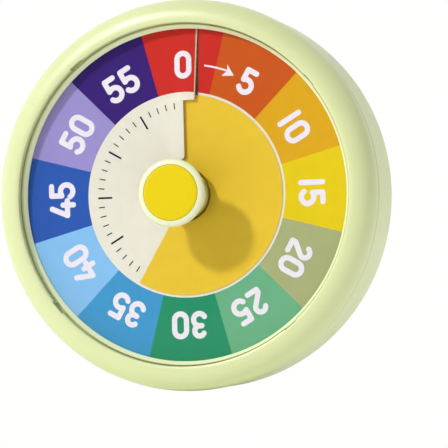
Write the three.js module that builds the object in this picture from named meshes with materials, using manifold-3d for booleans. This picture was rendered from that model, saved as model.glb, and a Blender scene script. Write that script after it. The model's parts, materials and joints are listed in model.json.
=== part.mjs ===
// A round sixty-minute visual countdown timer for a wall or a desk.
//
// Frame: millimetres, +Z up. The setting knob's axis is the Y axis and the front faces -Y. The origin is
// where that axis meets the flat back of the rear case, so a depth d in front of the wall is y = -d.
import * as THREE from 'three';
import { mergeVertices } from 'three/addons/utils/BufferGeometryUtils.js';
import Module from 'manifold-3d';

const wasm = await Module();
wasm.setup();

// ---------------------------------------------------------------- driving dimensions
const OUTER_R = 90; // largest radius of the bezel
const TUBE_R = 10; // radius of the bezel's rounded front
const DIAL_D = 38; // printed face of the dial, in front of the wall
const DIAL_T = 1; // dial thickness
const DIAL_R = 78.7;
const WINDOW_R = 76.4; // visible radius of the dial
const SEAM_D = 30.8; // middle of the seam between bezel and rear case
const LENS_T = 1.5;
const LENS_BACK_D = 40.3;
const LENS_R = 78.3;
const LENS_HOLE_R = 12.3;
const TAB = { bearings: [39, 129, 219, 309], reachR: 79.2, half: 3.2 }; // locating tabs round the lens
const FLOOR_T = 2.2; // rear case floor
const GAP = 0.3; // between neighbouring parts
const RUN = 0.06; // radial running clearance of a shaft

const FILM_R = 46; // yellow time film
const FILM_T = 0.2;
const FILM_LIFT = 0.15; // height of the film over the dial
const FLAP_RISE = 1.9; // height of the lifted edge of the dial beside its slit
const FLAP_ARC = 25; // degrees over which that edge rises
const SHOWN = 210.7; // degrees of film shown: just over the 35-minute mark

const KNOB_R = 15.9; // largest radius of the grip ring
const GRIP = { radius: 2.9, d: 60.6 }; // the ring's round section
const NECK_R = 10.8;
const NECK_GROOVE = 0.35; // depth of the line round the neck
const CAP_R = 12.6;
const KNOB_FRONT_D = 64;
const SHAFT_R = 2;
const STUB_R = 1.2; // the main shaft's thin rear end

const SCREW_CIRCLE_R = 82; // case screws and chassis screws
const POST_R = 2.8;

const STAND = { halfWidth: 15.7, hingeZ: -14, hingeD: 3.4, tipZ: -80, barrelR: 3, pinR: 1.2 };
const DOOR = { x: -50, halfWidth: 8.1, hingeZ: -29.3, topZ: 26.8, thickness: 1.8 };
const CELL = { x: -50, d: 10.5, radius: 7.25, bottomZ: -24.5, topZ: 25 };
const SWITCH = { x: 49, z: 20, halfNub: 1.8, travel: 6 };
const BUZZER = { x: 50, z: -14, radius: 9 };
const KEYHOLE = { headZ: 58, headR: 4.2, slotZ: 66, slotR: 2.1 };

// wheel train: each wheel drives the next pinion, and the places of the arbors follow from the pitch radii
const PINION_TEETH = 6;
const TRAIN = {
  centre: { teeth: 45, module: 0.5, d: 27 },
  third: { teeth: 48, module: 0.42, d: 23.5, bearing: 150 },
  second: { teeth: 45, module: 0.4, d: 20, bearing: -100 },
  rotor: { d: 15.5, bearing: -60 },
};
const WHEEL_T = 1.2;
const PINION_T = 2.2;
const ARBOR_R = 0.8;
const BOX = { x: 25.3, z: 19.8, wall: 1.3, back: 11.6, front: 28.9 }; // movement housing, half sizes
const BASE = { x: 32.5, back: 29.2, front: 31.2, earX: 28.7 };
const EAR = { halfZ: 4, back: 26 };

const RAD = Math.PI / 180;

// ---------------------------------------------------------------- solids
function bare(geometry) {
  geometry.deleteAttribute('normal');
  geometry.deleteAttribute('uv');
  const merged = mergeVertices(geometry, 1e-4);
  const index = [];
  for (let i = 0; i < merged.index.count; i += 3) {
    const [a, b, c] = [0, 1, 2].map((k) => merged.index.getX(i + k));
    if (a !== b && b !== c && c !== a) {
      index.push(a, b, c);
    }
  }
  merged.setIndex(index);
  return merged;
}

function solid(geometry) {
  const g = bare(geometry);
  return new wasm.Manifold(new wasm.Mesh({
    numProp: 3,
    vertProperties: new Float32Array(g.attributes.position.array),
    triVerts: new Uint32Array(g.index.array),
  }));
}

function geometryOf(manifold) {
  const mesh = manifold.getMesh();
  const g = new THREE.BufferGeometry();
  g.setAttribute('position', new THREE.BufferAttribute(new Float32Array(mesh.vertProperties), 3));
  g.setIndex(new THREE.BufferAttribute(new Uint32Array(mesh.triVerts), 1));
  return g;
}

// A geometry with others joined to it and cut from it.
function shaped(base, { add = [], cut = [] }) {
  let body = solid(base);
  for (const g of add) {
    body = body.add(solid(g));
  }
  for (const g of cut) {
    body = body.subtract(solid(g));
  }
  return geometryOf(body);
}

// A turned shape about the Y axis from an outline of [radius, depth] points.
function turned(outline, segments) {
  const points = outline.map(([r, d]) => new THREE.Vector2(r, -d));
  if (THREE.ShapeUtils.area(points) < 0) {
    points.reverse();
  }
  const closed = outline[0][0] > 0 || outline[outline.length - 1][0] > 0;
  if (closed) {
    points.push(points[0].clone());
  }
  return bare(new THREE.LatheGeometry(points, segments));
}

// A turned shape about the line parallel to Y at (x, z).
function turnedAt(x, z, outline, segments) {
  return turned(outline, segments).translate(x, 0, z);
}

function rod(x, z, radius, d0, d1, segments = 24) {
  const g = new THREE.CylinderGeometry(radius, radius, Math.abs(d1 - d0), segments);
  return g.translate(x, -(d0 + d1) / 2, z);
}

function rodX(x0, x1, z, d, radius, segments = 16) {
  const g = new THREE.CylinderGeometry(radius, radius, x1 - x0, segments);
  return g.rotateZ(Math.PI / 2).translate((x0 + x1) / 2, -d, z);
}

function block(x0, x1, z0, z1, d0, d1) {
  const g = new THREE.BoxGeometry(x1 - x0, d1 - d0, z1 - z0);
  return g.translate((x0 + x1) / 2, -(d0 + d1) / 2, (z0 + z1) / 2);
}

// A flat outline, drawn as seen from the front, from depth d0 to depth d1.
function plate(shape, d0, d1, curveSegments = 8) {
  const g = new THREE.ExtrudeGeometry(shape, { depth: d1 - d0, bevelEnabled: false, curveSegments });
  return g.rotateX(Math.PI / 2).translate(0, -d0, 0);
}

function tubeAlong(points, radius, steps, sides) {
  const circle = new THREE.Shape().absarc(0, 0, radius, 0, 2 * Math.PI);
  const path = new THREE.CatmullRomCurve3(points.map(([x, z, d]) => new THREE.Vector3(x, -d, z)));
  return new THREE.ExtrudeGeometry(circle, { steps, extrudePath: path, curveSegments: sides });
}

function roundedRect(x0, x1, z0, z1, r) {
  const s = new THREE.Shape();
  s.moveTo(x0 + r, z0);
  s.lineTo(x1 - r, z0);
  s.absarc(x1 - r, z0 + r, r, -Math.PI / 2, 0);
  s.lineTo(x1, z1 - r);
  s.absarc(x1 - r, z1 - r, r, 0, Math.PI / 2);
  s.lineTo(x0 + r, z1);
  s.absarc(x0 + r, z1 - r, r, Math.PI / 2, Math.PI);
  s.lineTo(x0, z0 + r);
  s.absarc(x0 + r, z0 + r, r, Math.PI, 1.5 * Math.PI);
  return s;
}

// ---------------------------------------------------------------- the assembly
const timer = new THREE.Group();
timer.name = 'visual_timer';

function part(name, geometry, color, roughness, metalness = 0) {
  const material = new THREE.MeshStandardMaterial({ color, roughness, metalness });
  const mesh = new THREE.Mesh(geometry, material);
  mesh.name = name;
  timer.add(mesh);
}

const PALE_GREEN = 0xe0ebb8;
const YELLOW = 0xf0d714;
const WHITE = 0xece9d8;
const BRASS = 0xc9a24a;
const STEEL = 0xb9bcc0;
const BLACK = 0x26282b;

const screwSpots = [45, 135, 225, 315].map((a) => spot(SCREW_CIRCLE_R, a));
const chassisSpots = [90, 210, 330].map((a) => spot(SCREW_CIRCLE_R, a));

function spot(radius, degrees) {
  return [radius * Math.cos(degrees * RAD), radius * Math.sin(degrees * RAD)];
}

// ---------------------------------------------------------------- case
// Blocks that stand out from the lens's edge at its four tabs.
function tabs(reachR, half, d0, d1) {
  return TAB.bearings.map((a) => block(LENS_R - 1, reachR, -half, half, d0, d1).rotateY(-a * RAD));
}

function frontBezel() {
  const ringR = OUTER_R - TUBE_R;
  const tubeD = DIAL_D - 3.3;
  const arc = (radius, from, to, steps) => Array.from({ length: steps + 1 }, (_, i) => {
    const a = (from + ((to - from) * i) / steps) * RAD;
    return [ringR + radius * Math.cos(a), tubeD + radius * Math.sin(a)];
  });
  const rebateR = DIAL_R + 0.2;
  const ledgeD = LENS_BACK_D - GAP;
  const profile = [
    [WINDOW_R, DIAL_D + GAP],
    [WINDOW_R, DIAL_D + 0.5],
    [LENS_R - 0.4, ledgeD],
    [rebateR, ledgeD],
    [rebateR, tubeD + TUBE_R - 0.6],
    [rebateR + 0.4, tubeD + TUBE_R - 0.15],
    ...arc(TUBE_R, 88, 0, 5),
    [OUTER_R - 0.5, SEAM_D + GAP],
    [86.7, SEAM_D + GAP],
    [86.7, 27.8],
    [85.2, 27.8],
    [85.2, SEAM_D + 1.2],
    ...arc(TUBE_R - 2.2, -15, 84, 2),
    [80.8, DIAL_D + GAP],
  ];
  const posts = screwSpots.map(([x, z]) => rod(x, z, POST_R, FLOOR_T + 0.4, 43.2, 12));
  const bosses = chassisSpots.map(([x, z]) => rod(x, z, POST_R, 33.8, 43.2, 12));
  const postHoles = screwSpots.map(([x, z]) => rod(x, z, 1.45, 1, 20, 8));
  const bossHoles = chassisSpots.map(([x, z]) => rod(x, z, 1.15, 32, 39, 8));
  const notches = tabs(TAB.reachR + GAP, TAB.half + GAP, ledgeD, tubeD + TUBE_R + 1);
  return shaped(turned(profile, 48), {
    add: [...posts, ...bosses],
    cut: [...postHoles, ...bossHoles, ...notches],
  });
}

function rearCase() {
  const profile = [
    [0, 0],
    [85.2, 0],
    [86.9, 0.5],
    [87.8, 1.6],
    [88, 3.2],
    [89.3, SEAM_D - GAP],
    [87.1, SEAM_D - GAP],
    [85.9, 4],
    [84.6, FLOOR_T],
    [0, FLOOR_T],
  ];
  const wall = 2;
  const pocket = { x: STAND.halfWidth + 0.5, top: STAND.hingeZ + 5, bottom: STAND.tipZ - 1, depth: 6.6 };
  const outerX = pocket.x + wall;
  const shell = block(-outerX, outerX, pocket.bottom - wall, pocket.top + wall, 1, pocket.depth + wall);
  const cavity = block(-pocket.x, pocket.x, pocket.bottom, pocket.top, -1, pocket.depth);
  const pinHole = rodX(-outerX - 0.1, outerX + 0.1, STAND.hingeZ, STAND.hingeD, STAND.pinR + RUN);
  const doorway = block(DOOR.x - DOOR.halfWidth - GAP, DOOR.x + DOOR.halfWidth + GAP,
    DOOR.hingeZ - DOOR.thickness / 2 - GAP, DOOR.topZ + GAP, -1, 3);
  const thumbSlot = block(SWITCH.x - 2.2, SWITCH.x + 2.2,
    SWITCH.z - 2.2, SWITCH.z + SWITCH.travel + 2.2, -1, 3);
  const { headZ, headR, slotZ, slotR } = KEYHOLE;
  const keyhole = [
    rod(0, headZ, headR, -1, 3, 24),
    block(-slotR, slotR, headZ, slotZ, -1, 3),
    rod(0, slotZ, slotR, -1, 3, 16),
  ];
  const screwHoles = screwSpots.flatMap(([x, z]) => [rod(x, z, 3.1, -1, 1.3, 12), rod(x, z, 1.7, 1, 3, 8)]);
  const soundHoles = [[0, 0], ...[0, 60, 120, 180, 240, 300].map((a) => spot(4.5, a))]
    .map(([x, z]) => rod(BUZZER.x + x, BUZZER.z + z, 1, -1, 3, 6));
  return shaped(turned(profile, 48), {
    add: [shell],
    cut: [cavity, pinHole, doorway, thumbSlot, ...keyhole, ...screwHoles, ...soundHoles],
  });
}

part('front_bezel', frontBezel(), PALE_GREEN, 0.42);
part('rear_case', rearCase(), PALE_GREEN, 0.5);
part('clear_lens', shaped(turned([
  [LENS_HOLE_R, LENS_BACK_D],
  [LENS_HOLE_R, LENS_BACK_D + LENS_T],
  [LENS_R, LENS_BACK_D + LENS_T],
  [LENS_R, LENS_BACK_D],
], 48), { add: tabs(TAB.reachR, TAB.half, LENS_BACK_D, LENS_BACK_D + LENS_T) }), 0xf4fbff, 0.05);

function pan(headR, headD, shankR, tipD) {
  return [
    [0, headD],
    [headR * 0.8, headD],
    [headR, headD + 0.35],
    [headR, headD + 1.1],
    [shankR, headD + 1.1],
    [shankR, tipD - 0.8],
    [0, tipD],
  ];
}
screwSpots.forEach(([x, z], i) => {
  part(`case_screw_${i + 1}`, turnedAt(x, z, pan(2.7, 0.1, 1.35, 17), 10), STEEL, 0.35, 0.9);
});
chassisSpots.forEach(([x, z], i) => {
  part(`chassis_screw_${i + 1}`, turnedAt(x, z, pan(2.3, 30.5, 1.05, 38), 10), STEEL, 0.35, 0.9);
});

// ---------------------------------------------------------------- dial
// Clockwise angle of the slit seen from the front: on the zero line near the hub, then a step to the right.
const JOG_R = 43.3;
const JOG_BLEND = 0.6; // radial width of the step
const JOG_STEP = 5.6; // how far the slit steps to the right
const SLIT_LEAN = 0.065; // its further drift to the right per millimetre outwards
function slitAngle(radius) {
  if (radius <= JOG_R) {
    return 0;
  }
  const offset = JOG_STEP + SLIT_LEAN * (radius - JOG_R);
  return Math.asin(offset / radius) / RAD;
}

function smooth(t) {
  const u = Math.min(Math.max(t, 0), 1);
  return u * u * (3 - 2 * u);
}

// The dial's height over its resting plane, some degrees before the slit's lifted edge. It lies flat again
// where the bezel holds its rim.
const RIM_R = WINDOW_R - 0.4;
const RIM_FALL = 2; // width over which the lifted edge comes down to the rim
function flapRise(before, radius) {
  return FLAP_RISE * smooth((FLAP_ARC - before) / FLAP_ARC) * smooth((RIM_R - radius) / RIM_FALL);
}

// A thin closed sheet on rows of radii and columns of turn, from a function that places each grid point.
function sheet(radii, columns, place, thickness) {
  const vertices = [];
  const index = [];
  const cols = columns.length;
  const at = (row, col, side) => (row * cols + col) * 2 + side;
  radii.forEach((radius) => columns.forEach((turn) => {
    const { angle, depth } = place(radius, turn);
    const x = radius * Math.sin(angle * RAD);
    const z = radius * Math.cos(angle * RAD);
    vertices.push(x, -depth, z, x, -(depth - thickness), z);
  }));
  const quad = (a, b, c, d) => index.push(a, c, b, a, d, c);
  for (let r = 0; r + 1 < radii.length; r += 1) {
    for (let c = 0; c + 1 < cols; c += 1) {
      quad(at(r, c, 0), at(r + 1, c, 0), at(r + 1, c + 1, 0), at(r, c + 1, 0));
      quad(at(r, c, 1), at(r, c + 1, 1), at(r + 1, c + 1, 1), at(r + 1, c, 1));
    }
    quad(at(r, 0, 0), at(r, 0, 1), at(r + 1, 0, 1), at(r + 1, 0, 0));
    const end = cols - 1;
    quad(at(r, end, 0), at(r + 1, end, 0), at(r + 1, end, 1), at(r, end, 1));
  }
  const last = radii.length - 1;
  for (let c = 0; c + 1 < cols; c += 1) {
    quad(at(0, c, 0), at(0, c + 1, 0), at(0, c + 1, 1), at(0, c, 1));
    quad(at(last, c, 0), at(last, c, 1), at(last, c + 1, 1), at(last, c + 1, 0));
  }
  const g = new THREE.BufferGeometry();
  g.setAttribute('position', new THREE.Float32BufferAttribute(vertices, 3));
  g.setIndex(index);
  return g;
}

function steps(from, to, count) {
  return Array.from({ length: count + 1 }, (_, i) => from + ((to - from) * i) / count);
}

const HUB_HOLE_R = 16.3; // the hole in the dial's middle
const FILM_IN_R = 9.3;
const SLIT_W = { inner: 0.5, outer: 1.2 };
// turns from the right-hand edge of the slit round to its lifted left-hand edge
const dialTurns = [...steps(0, 1 - FLAP_ARC / 360, 40), ...steps(1 - FLAP_ARC / 360, 1, 6).slice(1)];
part('dial_plate', sheet(
  [HUB_HOLE_R, JOG_R, JOG_R + JOG_BLEND, RIM_R - RIM_FALL, RIM_R - RIM_FALL / 2, RIM_R, DIAL_R],
  dialTurns,
  (radius, turn) => {
    const slit = slitAngle(radius);
    const gap = (radius > JOG_R ? SLIT_W.outer : SLIT_W.inner) / radius / RAD;
    return {
      angle: slit + gap + turn * (360 - gap),
      depth: DIAL_D + flapRise((1 - turn) * 360, radius),
    };
  },
  DIAL_T,
), WHITE, 0.55);

// The film lies on the dial from the slit round to its leading edge and under it for the rest of its turn.
// Its columns follow the slit's step beside the slit and are straight at the film's two radial edges.
const FILM_CUT = 2; // degrees between those two edges
const FILM_START = SHOWN - 360 + FILM_CUT;
const filmTurns = [
  ...steps(FILM_START, -FLAP_ARC, 12),
  ...steps(-FLAP_ARC, 0, 6).slice(1),
  ...steps(0, SHOWN, 24).slice(1),
];
function filmAngle(turn, radius) {
  const after = 1 - Math.max(turn, 0) / SHOWN;
  const before = Math.min((turn - FILM_START) / (-FLAP_ARC - FILM_START), 1);
  return turn + slitAngle(radius) * Math.min(after, before);
}
function filmDepth(turn, radius) {
  const above = DIAL_D + FILM_LIFT + FILM_T;
  const under = DIAL_D - DIAL_T - FILM_LIFT;
  return turn >= 0 ? above : Math.min(above, under + flapRise(-turn, radius));
}
part('time_film', sheet(
  [FILM_IN_R, JOG_R, JOG_R + JOG_BLEND, FILM_R],
  filmTurns,
  (radius, turn) => ({ angle: filmAngle(turn, radius), depth: filmDepth(turn, radius) }),
  FILM_T,
), 0xebc63c, 0.35);

function chassisPlate() {
  const disc = turned([
    [4.6, 32],
    [4.6, 33.5],
    [76.7, 33.5],
    [76.7, 36.6],
    [DIAL_R, 36.6],
    [DIAL_R, 32],
  ], 40);
  const tabs = chassisSpots.map((_, i) => {
    const tab = block(-3.5, 3.5, 77, 84.9, 32, 33.5);
    return tab.rotateY((i * 120) * RAD);
  });
  const holes = chassisSpots.map(([x, z]) => rod(x, z, 1.5, 31, 35, 12));
  return shaped(disc, { add: tabs, cut: holes });
}
part('chassis_plate', chassisPlate(), WHITE, 0.6);

// ---------------------------------------------------------------- knob, shaft and hub
const gripArc = steps(-108, 72, 5).map((a) => {
  const [across, forward] = spot(GRIP.radius, a);
  return [KNOB_R - GRIP.radius + across, GRIP.d + forward];
});
part('knob_body', turned([
  [SHAFT_R + RUN, 40.6],
  [NECK_R - 0.6, 40.6],
  [NECK_R, 41.2],
  [NECK_R, 44.3],
  [NECK_R - NECK_GROOVE, 44.6],
  [NECK_R - NECK_GROOVE, 45],
  [NECK_R, 45.3],
  [NECK_R, 55.5],
  [NECK_R + 0.6, 57],
  ...gripArc,
  [CAP_R + GAP, GRIP.d + GRIP.radius - 0.1],
  [CAP_R + GAP, 60],
  [0, 60],
  [0, 58],
  [SHAFT_R + RUN, 58],
], 28), PALE_GREEN, 0.42);
part('knob_cap', turned([
  [0, 60.3],
  [CAP_R, 60.3],
  [CAP_R, 63.3],
  [CAP_R - 0.6, 63.8],
  [CAP_R - 2, KNOB_FRONT_D],
  [0, KNOB_FRONT_D],
], 28), YELLOW, 0.3);
part('main_shaft', turned([
  [0, 12.2],
  [STUB_R, 12.2],
  [STUB_R, 13.4],
  [SHAFT_R, 13.8],
  [SHAFT_R, 25.9],
  [3.4, 25.9],
  [3.4, 26.7],
  [SHAFT_R, 26.7],
  [SHAFT_R, 57.2],
  [1.6, 57.7],
  [0, 57.7],
], 20), STEEL, 0.3, 0.9);
part('film_hub', turned([
  [SHAFT_R + RUN, 36],
  [8.6, 36],
  [8.6, 40.2],
  [SHAFT_R + RUN, 40.2],
], 28), WHITE, 0.5);
part('shaft_bush', turned([
  [SHAFT_R + RUN, 29],
  [4.3, 29],
  [4.3, 35.7],
  [SHAFT_R + RUN, 35.7],
], 20), BRASS, 0.35, 0.8);

function hexNut() {
  const hex = new THREE.Shape(steps(0, 5, 5).map((i) => new THREE.Vector2(...spot(6.6, i * 60))));
  return shaped(plate(hex, 33.8, 35.4), { cut: [rod(0, 0, 4.6, 33, 36, 20)] });
}
part('bush_nut', hexNut(), BRASS, 0.35, 0.8);

// ---------------------------------------------------------------- wheel train
// Toothed outline with tapered teeth, the first of them centred on the angle phase.
function toothed(teeth, module, phase, isPinion) {
  const pitchR = (teeth * module) / 2;
  const rootR = pitchR - 1.15 * module;
  const tipR = pitchR + 0.8 * module;
  const pitch = 360 / teeth;
  const rootHalf = pitch * (isPinion ? 0.2 : 0.24);
  const tipHalf = pitch * (isPinion ? 0.1 : 0.09);
  const points = [];
  for (let i = 0; i < teeth; i += 1) {
    const a = phase + i * pitch;
    points.push(
      spot(rootR, a - rootHalf),
      spot(tipR, a - tipHalf),
      spot(tipR, a + tipHalf),
      spot(rootR, a + rootHalf),
    );
  }
  return new THREE.Shape(points.map(([x, z]) => new THREE.Vector2(x, z)));
}

// Arbor places: each one stands off the last by the sum of the pitch radii.
function arborPlaces() {
  const places = { centre: [0, 0] };
  const chain = ['centre', 'third', 'second', 'rotor'];
  for (let i = 1; i < chain.length; i += 1) {
    const driver = TRAIN[chain[i - 1]];
    const distance = ((driver.teeth + PINION_TEETH) * driver.module) / 2;
    const [x, z] = places[chain[i - 1]];
    const [dx, dz] = spot(distance, TRAIN[chain[i]].bearing);
    places[chain[i]] = [x + dx, z + dz];
  }
  return places;
}
const arbor = arborPlaces();

// A wheel's tooth points along the bearing of the pinion it drives, and that pinion's gap faces it.
function wheel(place, spec, bearing) {
  return plate(toothed(spec.teeth, spec.module, bearing, false), spec.d, spec.d + WHEEL_T)
    .translate(place[0], 0, place[1]);
}
function pinion(place, driver, bearing) {
  const phase = bearing + 180 + 180 / PINION_TEETH;
  const from = driver.d - (PINION_T - WHEEL_T) / 2;
  return plate(toothed(PINION_TEETH, driver.module, phase, true), from, from + PINION_T)
    .translate(place[0], 0, place[1]);
}
const ARBOR_BACK = 12.3;
const ARBOR_FRONT = 30.2;
function arborRod([x, z]) {
  return rod(x, z, ARBOR_R, ARBOR_BACK, ARBOR_FRONT, 12);
}

part('centre_wheel', shaped(wheel(arbor.centre, TRAIN.centre, TRAIN.third.bearing), {
  cut: [rod(0, 0, SHAFT_R + RUN, 26, 30, 20)],
}), BRASS, 0.4, 0.8);
part('third_wheel', shaped(wheel(arbor.third, TRAIN.third, TRAIN.second.bearing), {
  add: [pinion(arbor.third, TRAIN.centre, TRAIN.third.bearing), arborRod(arbor.third)],
}), WHITE, 0.5);
part('second_wheel', shaped(wheel(arbor.second, TRAIN.second, TRAIN.rotor.bearing), {
  add: [pinion(arbor.second, TRAIN.third, TRAIN.second.bearing), arborRod(arbor.second)],
}), WHITE, 0.5);
part('motor_rotor', shaped(pinion(arbor.rotor, TRAIN.second, TRAIN.rotor.bearing), {
  add: [
    arborRod(arbor.rotor),
    rod(arbor.rotor[0], arbor.rotor[1], 3, TRAIN.rotor.d, TRAIN.rotor.d + 3, 16),
    rod(arbor.rotor[0], arbor.rotor[1], 0.85, TRAIN.rotor.d, TRAIN.second.d + 1, 12),
  ],
}), BLACK, 0.4, 0.5);
part('clutch_spring', turned([
  [SHAFT_R + RUN, 28.7],
  [5, 28.45],
  [5, 28.6],
  [SHAFT_R + RUN, 28.88],
], 20), STEEL, 0.3, 0.9);

// ---------------------------------------------------------------- movement housing and motor
// An open box over the wheels, with an ear on each side that a screw holds to the base.
function movementCover() {
  const inside = { x: BOX.x - BOX.wall, z: BOX.z - BOX.wall };
  const ears = [-1, 1].map((side) => {
    const span = [side * (inside.x + 0.6), side * (BASE.earX + 3.3)].sort((a, b) => a - b);
    return block(span[0], span[1], -EAR.halfZ, EAR.halfZ, EAR.back, BOX.front);
  });
  const earHoles = [-1, 1].map((side) => rod(side * BASE.earX, 0, 1.5, EAR.back - 1, BOX.front + 1, 12));
  const pivots = [arbor.third, arbor.second, arbor.rotor]
    .map(([x, z]) => rod(x, z, ARBOR_R + RUN, BOX.back - 1, BOX.back + 2, 12));
  const shaftHole = rod(0, 0, STUB_R + RUN, BOX.back - 1, BOX.back + 2, 16);
  return shaped(block(-BOX.x, BOX.x, -BOX.z, BOX.z, BOX.back, BOX.front), {
    add: ears,
    cut: [
      block(-inside.x, inside.x, -inside.z, inside.z, BOX.back + BOX.wall, BOX.front + 1),
      ...earHoles,
      ...pivots,
      shaftHole,
    ],
  });
}
part('movement_cover', movementCover(), BLACK, 0.55);

function movementBase() {
  const holes = [arbor.third, arbor.second, arbor.rotor]
    .map(([x, z]) => rod(x, z, ARBOR_R + RUN, 29, 30.4, 12));
  const earHoles = [-1, 1].map((side) => rod(side * BASE.earX, 0, 1.05, 29, 32, 12));
  return shaped(block(-BASE.x, BASE.x, -BOX.z, BOX.z, BASE.back, BASE.front), {
    cut: [...holes, ...earHoles, rod(0, 0, 4.35, 28, 32, 20)],
  });
}
part('movement_base', movementBase(), BLACK, 0.55);
[-1, 1].forEach((side, i) => {
  part(`movement_screw_${i + 1}`, turnedAt(side * BASE.earX, 0, pan(2.3, 24.6, 1, 31), 10), STEEL, 0.35, 0.9);
});

// The stator bar runs from the rotor through the coil.
function stator() {
  const [x, z] = arbor.rotor;
  const bar = new THREE.Shape();
  const halfBar = 2;
  bar.moveTo(x - 4.6, z - 3.6);
  bar.lineTo(x + 4.6, z - 3.6);
  bar.lineTo(x + 7, z - halfBar);
  bar.lineTo(22, z - halfBar);
  bar.lineTo(22, z + halfBar);
  bar.lineTo(x + 7, z + halfBar);
  bar.lineTo(x + 4.6, z + 4.4);
  bar.lineTo(x - 4.6, z + 4.4);
  bar.closePath();
  return shaped(plate(bar, 16.4, 17.6), { cut: [rod(x, z, 3.4, 16, 18, 20)] });
}
part('stator_plate', stator(), STEEL, 0.4, 0.8);

function coil() {
  const z = arbor.rotor[1];
  const winding = block(3.5, 18.5, z - 3.6, z + 4.4, 13.5, 20.5);
  const flanges = [[2.5, 3.7], [18.3, 19.5]].map(([x0, x1]) => block(x0, x1, z - 4, z + 5, 13.2, 20.9));
  return shaped(winding, { add: flanges, cut: [block(2, 20, z - 2.3, z + 2.3, 16.1, 17.9)] });
}
part('motor_coil', coil(), 0xa8572b, 0.45, 0.4);

// ---------------------------------------------------------------- alarm
const CAM = { d: 14.6, radius: 6, thickness: 1.4 };
part('alarm_cam', shaped(rod(0, 0, CAM.radius, CAM.d, CAM.d + CAM.thickness, 36), {
  cut: [rod(0, 0, SHAFT_R + RUN, 14, 17, 20), block(4.6, 7, -1.2, 1.2, 14, 17)],
}), WHITE, 0.5);

function contactLeaf() {
  const x = CAM.radius + 0.35;
  const foot = block(x, x + 3.2, 13.6, 17.8, 13.2, 17.2);
  const leaf = block(x, x + 0.4, -2.6, 14, 14.4, 16.2);
  return shaped(foot, { add: [leaf] });
}
part('alarm_contact', contactLeaf(), BRASS, 0.35, 0.85);
part('buzzer', shaped(rod(BUZZER.x, BUZZER.z, BUZZER.radius, 2.7, 6, 28), {
  cut: [rod(BUZZER.x, BUZZER.z, BUZZER.radius - 1, 3.4, 5.3, 24), rod(BUZZER.x, BUZZER.z, 1.4, 2, 4, 12)],
}), BLACK, 0.45);

// ---------------------------------------------------------------- electrics
const BOARD = { x0: 36, x1: 64, z0: -26, z1: 36, d: 6.3, t: 1.6 };
part('circuit_board', shaped(plate(roundedRect(BOARD.x0, BOARD.x1, BOARD.z0, BOARD.z1, 2),
  BOARD.d, BOARD.d + BOARD.t, 3), { cut: [rod(BUZZER.x, BUZZER.z, 1, 6, 8, 10)] }), 0x2e6b3e, 0.5);
part('switch_body', shaped(block(SWITCH.x - 5, SWITCH.x + 5, SWITCH.z - 6, SWITCH.z + 12, 4.1, 6), {
  cut: [block(SWITCH.x - 1, SWITCH.x + 1, SWITCH.z - 4, SWITCH.z + 10, 4, 5)],
}), STEEL, 0.4, 0.8);
part('alarm_slider', shaped(block(SWITCH.x - 4, SWITCH.x + 4, SWITCH.z - 5, SWITCH.z + 5, 2.6, 3.7), {
  add: [
    block(SWITCH.x - SWITCH.halfNub, SWITCH.x + SWITCH.halfNub,
      SWITCH.z - SWITCH.halfNub, SWITCH.z + SWITCH.halfNub, 0.4, 2.8),
    block(SWITCH.x - 0.7, SWITCH.x + 0.7, SWITCH.z - 2, SWITCH.z + 2, 3.5, 4.6),
  ],
}), BLACK, 0.5);

const TRAY = { halfX: 9.3, z0: -31.7, z1: 28.3, wall: 1.2, back: 2.5, front: 20.2 };
part('battery_box', shaped(
  block(CELL.x - TRAY.halfX, CELL.x + TRAY.halfX, TRAY.z0, TRAY.z1, TRAY.back, TRAY.front),
  {
    cut: [
      block(CELL.x - TRAY.halfX + TRAY.wall, CELL.x + TRAY.halfX - TRAY.wall,
        TRAY.z0 + TRAY.wall, TRAY.z1 - TRAY.wall, 1, TRAY.front - TRAY.wall),
      block(CELL.x - 2, CELL.x + 2, TRAY.z1 - 2, TRAY.z1 + 1, 9, 12),
      block(CELL.x - 2, CELL.x + 2, TRAY.z0 - 1, TRAY.z0 + 2, 9, 12),
    ],
  },
), WHITE, 0.6);

// A shape turned about a line parallel to Z at (x, depth d), from [radius, z] points.
function turnedUpright(x, d, outline, segments) {
  const flat = outline.map(([r, z]) => [r, -z]);
  return turned(flat, segments).rotateX(Math.PI / 2).translate(x, -d, 0);
}
part('battery_cell', turnedUpright(CELL.x, CELL.d, [
  [0, CELL.bottomZ],
  [CELL.radius - 0.6, CELL.bottomZ],
  [CELL.radius, CELL.bottomZ + 0.6],
  [CELL.radius, CELL.topZ - 0.6],
  [CELL.radius - 0.6, CELL.topZ],
  [2.75, CELL.topZ],
  [2.75, CELL.topZ + 1],
  [0, CELL.topZ + 1],
], 24), 0xb8763a, 0.35, 0.5);
part('battery_contact_plus', shaped(block(CELL.x - 6, CELL.x + 6, 26.3, 26.8, 4, 17), {
  add: [block(CELL.x - 1.5, CELL.x + 1.5, 26.5, 30, 9.5, 10.1)],
}), STEEL, 0.3, 0.9);

function springContact() {
  const turns = 3;
  const perTurn = 8;
  const coilPoints = steps(0, turns * perTurn, turns * perTurn).map((i) => {
    const t = i / (turns * perTurn);
    const [x, y] = spot(4.6 - 1.6 * t, (360 * i) / perTurn);
    return [CELL.x + x, -29.4 + 4.2 * t, CELL.d + y];
  });
  return tubeAlong(coilPoints, 0.35, turns * perTurn, 2);
}
part('battery_contact_spring', springContact(), STEEL, 0.3, 0.9);
part('wire_red', tubeAlong([
  [CELL.x, 31, 12.5], [-46, 36, 12], [-20, 36, 9.5], [10, 36, 9.5], [34, 33, 9.6], [42, 29, 8.9],
], 0.6, 14, 3), 0xb02a20, 0.5);
part('wire_black', tubeAlong([
  [-39, -28, 14], [-34, -16, 11], [-33, 14, 10.5], [-20, 28, 10], [14, 29, 9.6], [34, 25, 9.4], [42, 21, 8.9],
], 0.6, 16, 3), 0x202124, 0.5);

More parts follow.
